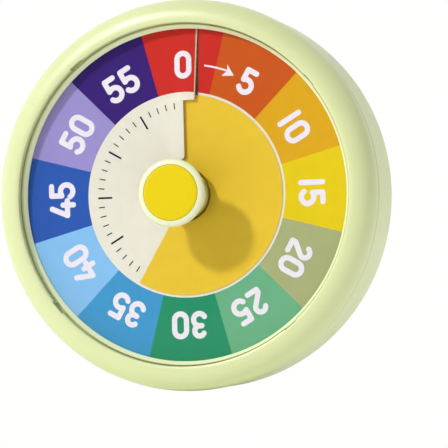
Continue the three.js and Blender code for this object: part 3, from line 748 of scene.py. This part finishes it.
def dial_columns():
    """The dial's columns: shares of the way from slit to 15 degrees, angles to 345, and shares back."""
    margin = 0.035  # a narrow first column beside the slit
    first = [0, margin] + [margin + (1 - margin) * i / 8 for i in range(1, 9)]
    last = [i / 20 for i in range(20)] + [0.972, 1]
    return ([("start", t) for t in first] + [("middle", 15 + 1.5 * i) for i in range(1, 220)]
            + [("end", t) for t in last])


CORNER_R = 1.8  # rounded inner corner of the lifted edge


def dial_angle(r, column):
    """Angle of a column at a radius."""
    section, t = column
    slit = slit_angle(r)
    if section == "start":
        near = slit + math.degrees(SLIT_W / r)
        return near + (15 - near) * t
    if section == "middle":
        return t
    inset = r - HUB_HOLE_R
    pull = CORNER_R - math.sqrt(max(CORNER_R ** 2 - max(CORNER_R - inset, 0) ** 2, 0))
    edge = 360 + slit - math.degrees(pull / r)
    return 345 + (edge - 345) * t


def dial_spot(r, column):
    """Angle and depth of a column at a radius. Nothing lifts the dial just to the right of the slit."""
    angle = dial_angle(r, column)
    rise = 0 if column[0] == "start" else flap_rise(360 + slit_angle(r) - angle, r)
    return angle, DIAL_D + rise


def dial():
    hub = [HUB_HOLE_R + CORNER_R * (1 - math.cos(math.radians(a))) for a in (0, 20, 40, 60, 75, 90)]
    jog = [JOG_R + JOG_BLEND * i / 8 for i in range(9)]
    rows = (hub + [20, 24, 28, 32, 36, 39, 41, 42.4] + jog + [45, 46, PRINT_R]
            + [51, 55, 59, 63, 67, 71, 74, RIM_R, DIAL_R])
    obj = finished("dial_face", sheet_bmesh(rows, dial_columns(), dial_spot, DIAL_T), 40)
    for material in (DIAL_EDGE_PAINTED_BOUNCE, CREAM_PRINT, *SECTOR_PRINTS):
        obj.data.materials.append(material)
    for face in obj.data.polygons:
        if face.normal.y > -0.3:
            continue
        r = math.hypot(face.center.x, face.center.z) / MM
        angle = math.degrees(math.atan2(face.center.x, face.center.z))
        to_slit = (slit_angle(r) - angle + 180) % 360 - 180
        # The unprinted strip takes the edge colour, white styrene with a painted tan of bounced red light.
        if 0 < math.radians(to_slit) * r < PRINT_MARGIN and r > JOG_R + JOG_BLEND:
            face.material_index = 0
        elif r < PRINT_R:
            face.material_index = 1
        else:
            face.material_index = 2 + int(((angle + 15) % 360) // 30)
    place(obj, None, "case", "printed_dial", "dial_plate")


# ---------------------------------------------------------------- print on the dial
STROKE = 1.25  # half the width of a numeral's stroke
NUMERAL_R = 59.8

# centre lines of the strokes, in millimetres from the middle of a digit
GLYPHS = {
    "0": [arc(0, 2.35, 2.85, 0, 180, 24) + arc(0, -2.35, 2.85, 180, 360, 24) + [(2.85, 2.35)]],
    "1": [[(0, -5.15), (0, 5.15)]],
    "2": [arc(-0.15, 2.75, 2.4, 158, -32, 24) + [(-2.5, -3.4), (-2.5, -5.1), (2.5, -5.1)]],
    "3": [arc(-0.1, 2.85, 2.35, 150, -90, 24) + [(-1.2, 0.5)],
          arc(-0.1, -2.3, 2.8, 90, -150, 24)],
    "4": [[(-0.1, 5.0), (-3.25, -2.3), (3.5, -2.3)], [(1.6, -0.2), (1.6, -5.2)]],
    "5": [[(2.2, 5.15), (-2.2, 5.15), (-2.2, 0.25)], arc(-0.2, -2.1, 3.0, 128, -148, 30)],
}
# how far apart two digits stand, and how far a number stands off its own ray and circle
PAIR_PITCH = {10: 7.3, 15: 6.9, 20: 8.3, 25: 8.6, 30: 9.0, 35: 8.6, 40: 8.7, 45: 8.1, 50: 8.9, 55: 8.7}
NUMBER_SHIFT = {0: 0.1, 5: 1.1, 20: 1.3, 25: 1.3}
NUMBER_RISE = {5: -0.7}


def distance_to(strokes, x, y):
    """Distance from grid points to the nearest centre line."""
    best = np.full(x.shape, 1e9)
    for stroke in strokes:
        for (ax, ay), (bx, by) in zip(stroke, stroke[1:]):
            dx, dy = bx - ax, by - ay
            t = np.clip(((x - ax) * dx + (y - ay) * dy) / max(dx * dx + dy * dy, 1e-12), 0, 1)
            best = np.minimum(best, np.hypot(x - ax - t * dx, y - ay - t * dy))
    return best


def glyph_polygons(strokes, half, step=0.25):
    """Cells of a grid inside the strokes. Those on the border are clipped at half a stroke from the line."""
    xs = [p[0] for s in strokes for p in s]
    ys = [p[1] for s in strokes for p in s]
    gx = np.arange(min(xs) - half - step, max(xs) + half + 2 * step, step)
    gy = np.arange(min(ys) - half - step, max(ys) + half + 2 * step, step)
    field = distance_to(strokes, *np.meshgrid(gx, gy)) - half
    polygons = []
    for j in range(len(gy) - 1):
        for i in range(len(gx) - 1):
            corners = [(i, j), (i + 1, j), (i + 1, j + 1), (i, j + 1)]
            values = [field[b, a] for a, b in corners]
            polygon = []
            for k in range(4):
                (a, b), (c, d) = corners[k], corners[(k + 1) % 4]
                va, vb = values[k], values[(k + 1) % 4]
                if va < 0:
                    polygon.append((gx[a], gy[b]))
                if (va < 0) != (vb < 0):
                    t = va / (va - vb)
                    polygon.append((gx[a] + (gx[c] - gx[a]) * t, gy[b] + (gy[d] - gy[b]) * t))
            if len(polygon) > 2:
                polygons.append(polygon)
    return polygons


def print_object(name, polygons, material, thickness=0.04):
    """A thin closed film of ink that follows the dial's face."""
    bm = bmesh.new()
    for polygon in polygons:
        bm.faces.new([bm.verts.new(on_dial(x, z)) for x, z in polygon])
    bmesh.ops.remove_doubles(bm, verts=bm.verts, dist=1e-6)
    bmesh.ops.dissolve_degenerate(bm, edges=bm.edges, dist=1e-7)
    bmesh.ops.recalc_face_normals(bm, faces=bm.faces)
    if sum(f.normal.y for f in bm.faces) > 0:
        bmesh.ops.reverse_faces(bm, faces=bm.faces)
    obj = added(name, mesh_from(name, bm))
    solid = obj.modifiers.new("ink_thickness", "SOLIDIFY")
    solid.thickness = thickness * MM
    solid.offset = -1
    place(obj, material, "case", "printed_dial")


def polar(r, angle):
    """A point on the dial as (x, z)."""
    return r * math.sin(math.radians(angle)), r * math.cos(math.radians(angle))


def numerals():
    for number in range(0, 60, 5):
        digits = str(number)
        pitch = PAIR_PITCH.get(number, 0)
        out = Vector(polar(1, number * 6))
        side = Vector((out.y, -out.x))
        polygons = []
        for k, digit in enumerate(digits):
            across = NUMBER_SHIFT.get(number, 0) + pitch * (k - (len(digits) - 1) / 2)
            origin = out * (NUMERAL_R + NUMBER_RISE.get(number, 0)) + side * across
            for polygon in glyph_polygons(GLYPHS[digit], STROKE):
                polygons.append([tuple(origin + side * x + out * y) for x, y in polygon])
        print_object(f"numeral_{number:02d}", polygons, NUMERAL_PRINT)


def ticks():
    polygons = []
    for minute in range(1, 60):
        long_tick = minute % 5 == 0
        inner, half = (35.7, 0.42) if long_tick else (39.6, 0.24)
        outer = 42.5
        out = Vector(polar(1, minute * 6))
        side = Vector((out.y, -out.x))
        rows = [inner + (outer - inner) * i / 4 for i in range(5)]
        for a, b in zip(rows, rows[1:]):
            corners = ((a, -half), (a, half), (b, half), (b, -half))
            polygons.append([tuple(out * r + side * s) for r, s in corners])
    print_object("minute_ticks", polygons, INK_PRINT)


def arrow():
    """The small arrow from 0 towards 5: a curved shaft and a barbed head."""
    shaft_r, half = 59.9, 0.42
    angles = [9.7 + 0.9 * i for i in range(13)]
    polygons = []
    for a, b in zip(angles, angles[1:]):
        corners = ((shaft_r - half, a), (shaft_r + half, a), (shaft_r + half, b), (shaft_r - half, b))
        polygons.append([polar(*corner) for corner in corners])
    tip, notch = polar(58.9, 24.2), polar(shaft_r, 20.5)
    barbs = polar(62.7, 19.7), polar(56.9, 18.6)
    polygons.append([tip, notch, barbs[0]])
    polygons.append([tip, barbs[1], notch])
    print_object("direction_arrow", polygons, NUMERAL_PRINT)


# ---------------------------------------------------------------- time film
class Fields(Nodes):
    """Arithmetic on fields of a geometry node tree."""

    def math(self, operation, *values):
        return self.node("ShaderNodeMath", enumerate(values), operation=operation).outputs[0]

    def add(self, a, b):
        return self.math("ADD", a, b)

    def times(self, a, b):
        return self.math("MULTIPLY", a, b)

    def minus(self, a, b):
        return self.math("SUBTRACT", a, b)

    def parts(self, vector):
        """The x, y and z of a vector."""
        split = self.node("ShaderNodeSeparateXYZ", {"Vector": vector})
        return [split.outputs[name] for name in "XYZ"]

    def smooth(self, value, start, end, low, high):
        inputs = {"Value": value, "From Min": start, "From Max": end, "To Min": low, "To Max": high}
        return self.node("ShaderNodeMapRange", inputs, interpolation_type="SMOOTHSTEP").outputs[0]


def drape_nodes(drive):
    """Lays the film over the dial from the slit to its leading edge and under it elsewhere, at any turn."""
    tree = bpy.data.node_groups.new("film_drape", "GeometryNodeTree")
    for direction in ("INPUT", "OUTPUT"):
        tree.interface.new_socket("Geometry", in_out=direction, socket_type="NodeSocketGeometry")
    f = Fields(tree)
    info = f.node("GeometryNodeObjectInfo", {"Object": drive}, transform_space="ORIGINAL")
    inputs = {"Vector": (0, 0, 1), "Rotation": info.outputs["Rotation"]}
    right, _, up = f.parts(f.node("FunctionNodeRotateVector", inputs).outputs["Vector"])
    turn = f.math("DEGREES", f.math("ARCTAN2", right, up))
    lead = f.math("WRAP", f.add(turn, SHOWN), 359.75, -0.25)

    x, y, z = f.parts(f.node("GeometryNodeInputPosition").outputs[0])
    r = f.times(f.math("SQRT", f.add(f.times(x, x), f.times(z, z))), 1 / MM)
    behind = f.node("GeometryNodeInputNamedAttribute", {"Name": "behind"}, data_type="FLOAT")
    angle = f.minus(lead, behind.outputs["Attribute"])

    step = f.smooth(r, JOG_R, JOG_R + JOG_BLEND, 0, JOG_STEP)
    lean = f.times(f.math("MAXIMUM", f.minus(r, JOG_R), 0), SLIT_LEAN)
    slit = f.math("DEGREES", f.math("ARCSINE", f.math("DIVIDE", f.add(step, lean), r)))
    before = f.minus(slit, angle)
    on_top = DIAL_D + FILM_LIFT + FILM_T
    over = f.add(f.smooth(f.add(before, 360), 0, FLAP_ARC, FLAP_RISE, 0), on_top)
    under_flap = f.add(f.smooth(before, 0, FLAP_ARC, FLAP_RISE, 0), DIAL_BACK - FILM_LIFT)
    under = f.math("MINIMUM", under_flap, on_top)
    is_over = f.math("LESS_THAN", before, 0)
    depth = f.add(f.times(is_over, over), f.times(f.minus(1, is_over), under))
    spot = f.node("ShaderNodeCombineXYZ", {"X": x, "Y": f.add(y, f.times(depth, -MM)), "Z": z})
    inputs = {"Geometry": f.node("NodeGroupInput").outputs[0], "Position": spot.outputs[0]}
    f.node("NodeGroupOutput", {0: f.node("GeometryNodeSetPosition", inputs).outputs["Geometry"]})
    return tree


def film():
    """The yellow disc, cut along one radius. Its mesh is flat and the nodes set its height."""
    radii = ([FILM_IN_R, 12, 16, 20, 25, 30, 35, 39, 42, JOG_R]
             + [JOG_R + JOG_BLEND * i / 6 for i in range(1, 7)] + [45, FILM_R])
    columns = [i * 1.0 for i in range(FILM_ARC + 1)]
    bm = sheet_bmesh(radii, columns, lambda r, column: (SHOWN - column, 0), FILM_T)
    obj = finished("time_film_disc", bm, 60)
    behind = obj.data.attributes.new("behind", "FLOAT", "POINT")
    for i, v in enumerate(obj.data.vertices):
        local = math.degrees(math.atan2(v.co.x, v.co.z))
        behind.data[i].value = (SHOWN - local + 0.5) % 360 - 0.5
    drape = obj.modifiers.new("drape", "NODES")
    drape.node_group = drape_nodes(frame["bodies"]["dial_drive"])
    place(obj, FILM_MATERIAL, "dial_drive", "film", "time_film")


# ---------------------------------------------------------------- knob
GRIP = dict(r=12.95, d=61.6, wide=2.75, deep=2.0)  # middle and half sizes of the grip ring's oval section


def knob():
    bore = 2.06
    well_r = CAP_R + 0.3
    groove_r = NECK_R - 0.4
    neck = rounded([
        (bore, KNOB_BACK, 0),
        (NECK_R, KNOB_BACK, 0.6),
        (NECK_R, 43.9, 0.12),
        (groove_r, 44.15, 0.1),
        (groove_r, 44.75, 0.1),
        (NECK_R, 45, 0.12),
        (NECK_R, 58.2, 1.8),
        (GRIP["r"] - 0.9, GRIP["d"] - GRIP["deep"] + 0.2, 0),
    ], 7)
    ring = [
        (GRIP["r"] + GRIP["wide"] * across, GRIP["d"] + GRIP["deep"] * out)
        for across, out in arc(0, 0, 1, -100, 88, 26)
    ]
    well_side = [(well_r, GRIP["d"] + GRIP["deep"] - 0.15), (well_r, 60), (0, 60), (0, 58), (bore, 58)]
    grip = turned("knob_grip", neck + ring + well_side, 160)
    place(grip, KNOB_PAINTED_LIGHT_PLASTIC, "dial_drive", "pale_green_plastic", "knob_body")
    cap_r = CAP_R + 0.22
    cap_back = back("knob_cap")
    cap = turned("knob_button", rounded([
        (0, cap_back, 0),
        (cap_r, cap_back, 0.1),
        (cap_r, KNOB_FRONT - 0.3, 0.5),
        (CAP_R - 0.7, KNOB_FRONT - 0.05, 0.5),
        (CAP_R - 3, KNOB_FRONT, 1),
        (0, KNOB_FRONT + 0.05, 0),
    ], 7), 128)
    place(cap, YELLOW_PLASTIC, "dial_drive", "yellow_plastic", "knob_cap")


# ---------------------------------------------------------------- back fittings
def screws():
    """Countersunk cross-head screws, each turned a little further than the last."""
    for i, (x, z) in enumerate(case_screw_spots(), 1):
        obj = finished(f"back_screw_{i}", turned_bmesh(rounded([
            (0, 0.1, 0), (1.9, 0.12, 0.8), (2.7, 0.75, 0.4), (2.7, 1.2, 0.1), (1.35, 1.2, 0),
            (1.35, 16.2, 0.2), (0.3, 17, 0), (0, 17, 0),
        ]), 40))
        for angle in (17 * i, 90 + 17 * i):
            blade = lofted_bmesh([
                [(-1.35, -0.5, -0.33), (1.35, -0.5, -0.33), (1.35, -0.5, 0.33), (-1.35, -0.5, 0.33)],
                [(-0.9, 0.95, -0.26), (0.9, 0.95, -0.26), (0.9, 0.95, 0.26), (-0.9, 0.95, 0.26)],
            ])
            cut(obj, [moved(blade, Matrix.Rotation(math.radians(angle), 4, "Y"))])
        obj.data.transform(shift(x, 0, z))
        place(resharpen(obj), STEEL, "case", "steel", f"case_screw_{i}")


def stand():
    """The folding leg: a rounded frame with a hinge barrel and three grip grooves at its tip."""
    half, bottom, top = STAND_HALF, STAND_TIP, HINGE_Z
    leg = slab("stand_bracket", rect_at(-half, half, bottom, top, 3.5), 0.4, 4.2, 0.5)
    barrel = rounded([(0, -half, 0), (3, -half, 0.4), (3, half, 0.4), (0, half, 0)])
    join(leg, "barrel", [pin_bmesh(barrel, 48, HINGE_D, HINGE_Z)])
    steps = [(-1, 0.4), (0.4, 0.4), (0.8, 0), (3.8, 0), (4.2, 0.4), (6, 0.4)]
    window = lofted_bmesh(levels(rect_at(-9, 9, bottom + 14, top - 12, 4), steps))
    grooves = []
    for z in (bottom + 3.2 + 2.6 * k for k in range(3)):
        grooves.append(lofted_bmesh(levels(rect_at(-8, 8, z, z + 1, 0.5), [(0, 0.2), (0.7, 0)])))
    cut(leg, [window, *grooves])
    cut(leg, [pin_bmesh([(0, -20), (1.35, -20), (1.35, 20), (0, 20)], 32, HINGE_D, HINGE_Z)])
    place(resharpen(leg), GREEN_PLASTIC, "stand_leg", "pale_green_plastic", "stand_leg")


def battery_lid():
    """The door: a plate with a barrel along its lower edge and three finger grooves."""
    x0, x1, z0, z1 = DOOR_X0, DOOR_X1, DOOR_Z0, DOOR_Z1
    thick = front("battery_door")
    r = thick / 2
    lid = slab("battery_lid", rect_at(x0, x1, z0 + r, z1, 0.6), 0, thick, 0.25)
    barrel = rounded([(0, x0, 0), (r, x0, 0.15), (r, x1, 0.15), (0, x1, 0)])
    join(lid, "barrel", [pin_bmesh(barrel, 32, r, z0 + r)])
    mid = (x0 + x1) / 2
    steps = [(-0.5, 0.15), (0, 0.15), (0.45, 0)]
    grooves = []
    for z in (z1 - 4 - 1.6 * k for k in range(3)):
        grooves.append(lofted_bmesh(levels(rect_at(mid - 4, mid + 4, z, z + 0.8, 0.4), steps)))
    cut(lid, grooves)
    place(resharpen(lid), GREEN_PLASTIC, "battery_door", "pale_green_plastic", "battery_door")


def slider():
    """The alarm slider: a plate behind the wall, a ribbed nub through it and a tail to the switch."""
    x, z = SLIDER_X, SLIDER_Z
    plate = slab("slider_button", rect_at(x - 4, x + 4, z - 5, z + 5, 0.8), 2.6, 3.7, 0.2)
    nub_steps = [(0.4, -0.2), (0.6, 0), (3, 0)]
    join(plate, "nub", [lofted_bmesh(levels(rect_at(x - 1.7, x + 1.7, z - 1.7, z + 1.7, 0.5), nub_steps))])
    tail_steps = [(3.2, 0), (4.6, 0)]
    join(plate, "tail", [lofted_bmesh(levels(rect_at(x - 0.7, x + 0.7, z - 2, z + 2, 0.2), tail_steps))])
    grooves = []
    for s in (-1.0, -0.18, 0.64):
        outline_at = rect_at(x - 1.9, x + 1.9, z + s, z + s + 0.35, 0.1)
        grooves.append(lofted_bmesh(levels(outline_at, [(0, 0), (0.75, 0)])))
    cut(plate, grooves)
    place(resharpen(plate), BLACK_PLASTIC, "alarm_slider", "black_plastic", "alarm_slider")


def cell():
    """The dry cell, with a crimped sleeve and a nub at its plus end."""
    x, depth, _ = middle("battery_cell")
    lo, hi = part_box("battery_cell")
    r = (hi.x - lo.x) / 2 / MM
    bottom, top = -lo.z / MM, -hi.z / MM
    outline = rounded([
        (0, bottom, 0), (r - 0.4, bottom, 0.3), (r, bottom - 0.5, 0.4),
        (r, top + 1.4, 0.4), (r - 0.8, top + 1.0, 0.3), (r - 1.2, top + 1.3, 0.1),
        (2.75, top + 1.3, 0.1), (2.75, top, 0.3), (0, top, 0),
    ])
    obj = finished("dry_cell", moved(turned_bmesh(outline, 64), quarter_turn("X")))
    obj.data.transform(shift(x, depth, 0))
    place(obj, wrap_material(), "case", "cell_wrap", "battery_cell")


# ---------------------------------------------------------------- carried-over CAD nodes
CARRIED = {
    WHITE_PLASTIC: ("chassis_plate", "film_hub", "battery_box", "third_wheel", "second_wheel", "alarm_cam"),
    BLACK_PLASTIC: ("movement_cover", "movement_base", "motor_rotor", "buzzer"),
    STEEL: ("chassis_screw_1", "chassis_screw_2", "chassis_screw_3", "movement_screw_1", "movement_screw_2",
            "main_shaft", "clutch_spring", "stator_plate", "switch_body", "battery_contact_plus",
            "battery_contact_spring", "stand_pin"),
    BRASS: ("shaft_bush", "bush_nut", "centre_wheel", "alarm_contact"),
    COPPER: ("motor_coil",),
    BOARD: ("circuit_board",),
    RED_WIRE: ("wire_red",),
    BLACK_WIRE: ("wire_black",),
}
BEVELLED = ("battery_box", "movement_cover", "movement_base", "circuit_board", "motor_coil", "stator_plate")


def dress_frame():
    for material, names in CARRIED.items():
        for name in names:
            node = frame["nodes"][name]
            node.data.materials.clear()
            node.data.materials.append(material)
    for name in BEVELLED:
        bevel = frame["nodes"][name].modifiers.new("rounding", "BEVEL")
        bevel.width = 0.2 * MM
        bevel.segments = 2
        bevel.limit_method = "ANGLE"
        bevel.angle_limit = math.radians(50)


# ---------------------------------------------------------------- stage
VIEW_AZIMUTH = 16.5
VIEW_ELEVATION = -2.6
VIEW_ROLL = 1.5
VIEW_DISTANCE = 3600
FRAME_WIDTH = 205.6  # millimetres across the picture at the dial
DIAL_AT = (-0.0835, 0.0652)  # where the dial's middle falls, as shares of the picture from its middle


def camera():
    a, e = math.radians(VIEW_AZIMUTH), math.radians(VIEW_ELEVATION)
    back_way = Vector((math.sin(a) * math.cos(e), -math.cos(a) * math.cos(e), math.sin(e)))
    roll = Matrix.Rotation(math.radians(-VIEW_ROLL), 3, "Z").to_quaternion()
    turn = (-back_way).to_track_quat("-Z", "Y") @ roll
    right, up = turn @ Vector((1, 0, 0)), turn @ Vector((0, 1, 0))
    data = bpy.data.cameras.new("camera")
    data.lens = data.sensor_width * VIEW_DISTANCE / FRAME_WIDTH
    data.clip_start, data.clip_end = 0.1, 50
    obj = added("camera", data)
    aim = Vector((0, -DIAL_D * MM, 0)) - (right * DIAL_AT[0] + up * DIAL_AT[1]) * FRAME_WIDTH * MM
    obj.rotation_mode = "QUATERNION"
    obj.rotation_quaternion = turn
    obj.location = aim + back_way * VIEW_DISTANCE * MM
    bpy.context.scene.camera = obj


def floor():
    """A pale floor that shows only from above, so the low camera looks past it."""
    bm = bmesh.new()
    bmesh.ops.create_circle(bm, cap_ends=True, segments=96, radius=3.0)
    obj = finished("floor", bm)
    if obj.data.polygons[0].normal.z < 0:
        obj.data.flip_normals()
    obj.location = (0, 0, -OUTER_R * MM - 0.0005)
    s = Shader("studio_floor")
    s.set(Base_Color=s.mix(s.spread(s.noise(3, 3), 0, 1), (0.86, 0.86, 0.855, 1), (0.89, 0.89, 0.885, 1)))
    s.set(Roughness=0.8, Emission_Color=(1, 1, 1, 1), Emission_Strength=FLOOR_GLOW)
    below = s.node("ShaderNodeNewGeometry").outputs["Backfacing"]
    clear = s.node("ShaderNodeBsdfTransparent").outputs["BSDF"]
    both = s.node("ShaderNodeMixShader", {0: below, 1: s.surface.outputs["BSDF"], 2: clear})
    s.plug(both.outputs["Shader"], s.tree.nodes["Material Output"].inputs["Surface"])
    obj.data.materials.append(s.material)


KEY_TRAVEL = (0.68, 1.0, -0.86)  # direction the key light travels
KEY_POWER = 2.05
KEY_SIZE = 5.5  # degrees across
FLOOR_GLOW = 0.22  # a little light of the floor's own, as from a lit sweep of paper
FILL_FROM = (-0.6, 0.8, -0.08)  # where the soft light is strongest
FILL_LOW, FILL_HIGH = 0.45, 1.08


def lights():
    data = bpy.data.lights.new("key", "SUN")
    data.energy = KEY_POWER
    data.angle = math.radians(KEY_SIZE)
    key = added("key", data)
    key.rotation_mode = "QUATERNION"
    key.rotation_quaternion = Vector(KEY_TRAVEL).to_track_quat("-Z", "Y")

    world = bpy.data.worlds.new("studio")
    world.use_nodes = True
    bpy.context.scene.world = world
    nodes = Nodes(world.node_tree)
    coords = nodes.node("ShaderNodeTexCoord").outputs["Generated"]
    toward = nodes.node("ShaderNodeVectorMath", {0: coords, 1: FILL_FROM}, operation="DOT_PRODUCT")
    inputs = {"Value": toward.outputs["Value"], "From Min": -0.6, "From Max": 0.6}
    inputs.update({"To Min": FILL_LOW, "To Max": FILL_HIGH})
    fill = nodes.node("ShaderNodeMapRange", inputs).outputs["Result"]
    seen = nodes.node("ShaderNodeLightPath").outputs["Is Camera Ray"]
    strength = nodes.node("ShaderNodeMix", {"Factor": seen, "A": fill, "B": 1.0})
    background = nodes.tree.nodes["Background"]
    nodes.plug((1, 1, 0.995, 1), background.inputs["Color"])
    nodes.plug(strength.outputs["Result"], background.inputs["Strength"])
    bpy.context.scene.view_settings.view_transform = "Standard"


bezel()
rear_case()
lens()
dial()
numerals()
ticks()
arrow()
film()
knob()
screws()
stand()
battery_lid()
slider()
cell()
dress_frame()
floor()
lights()
camera()

bpy.context.view_layer.update()
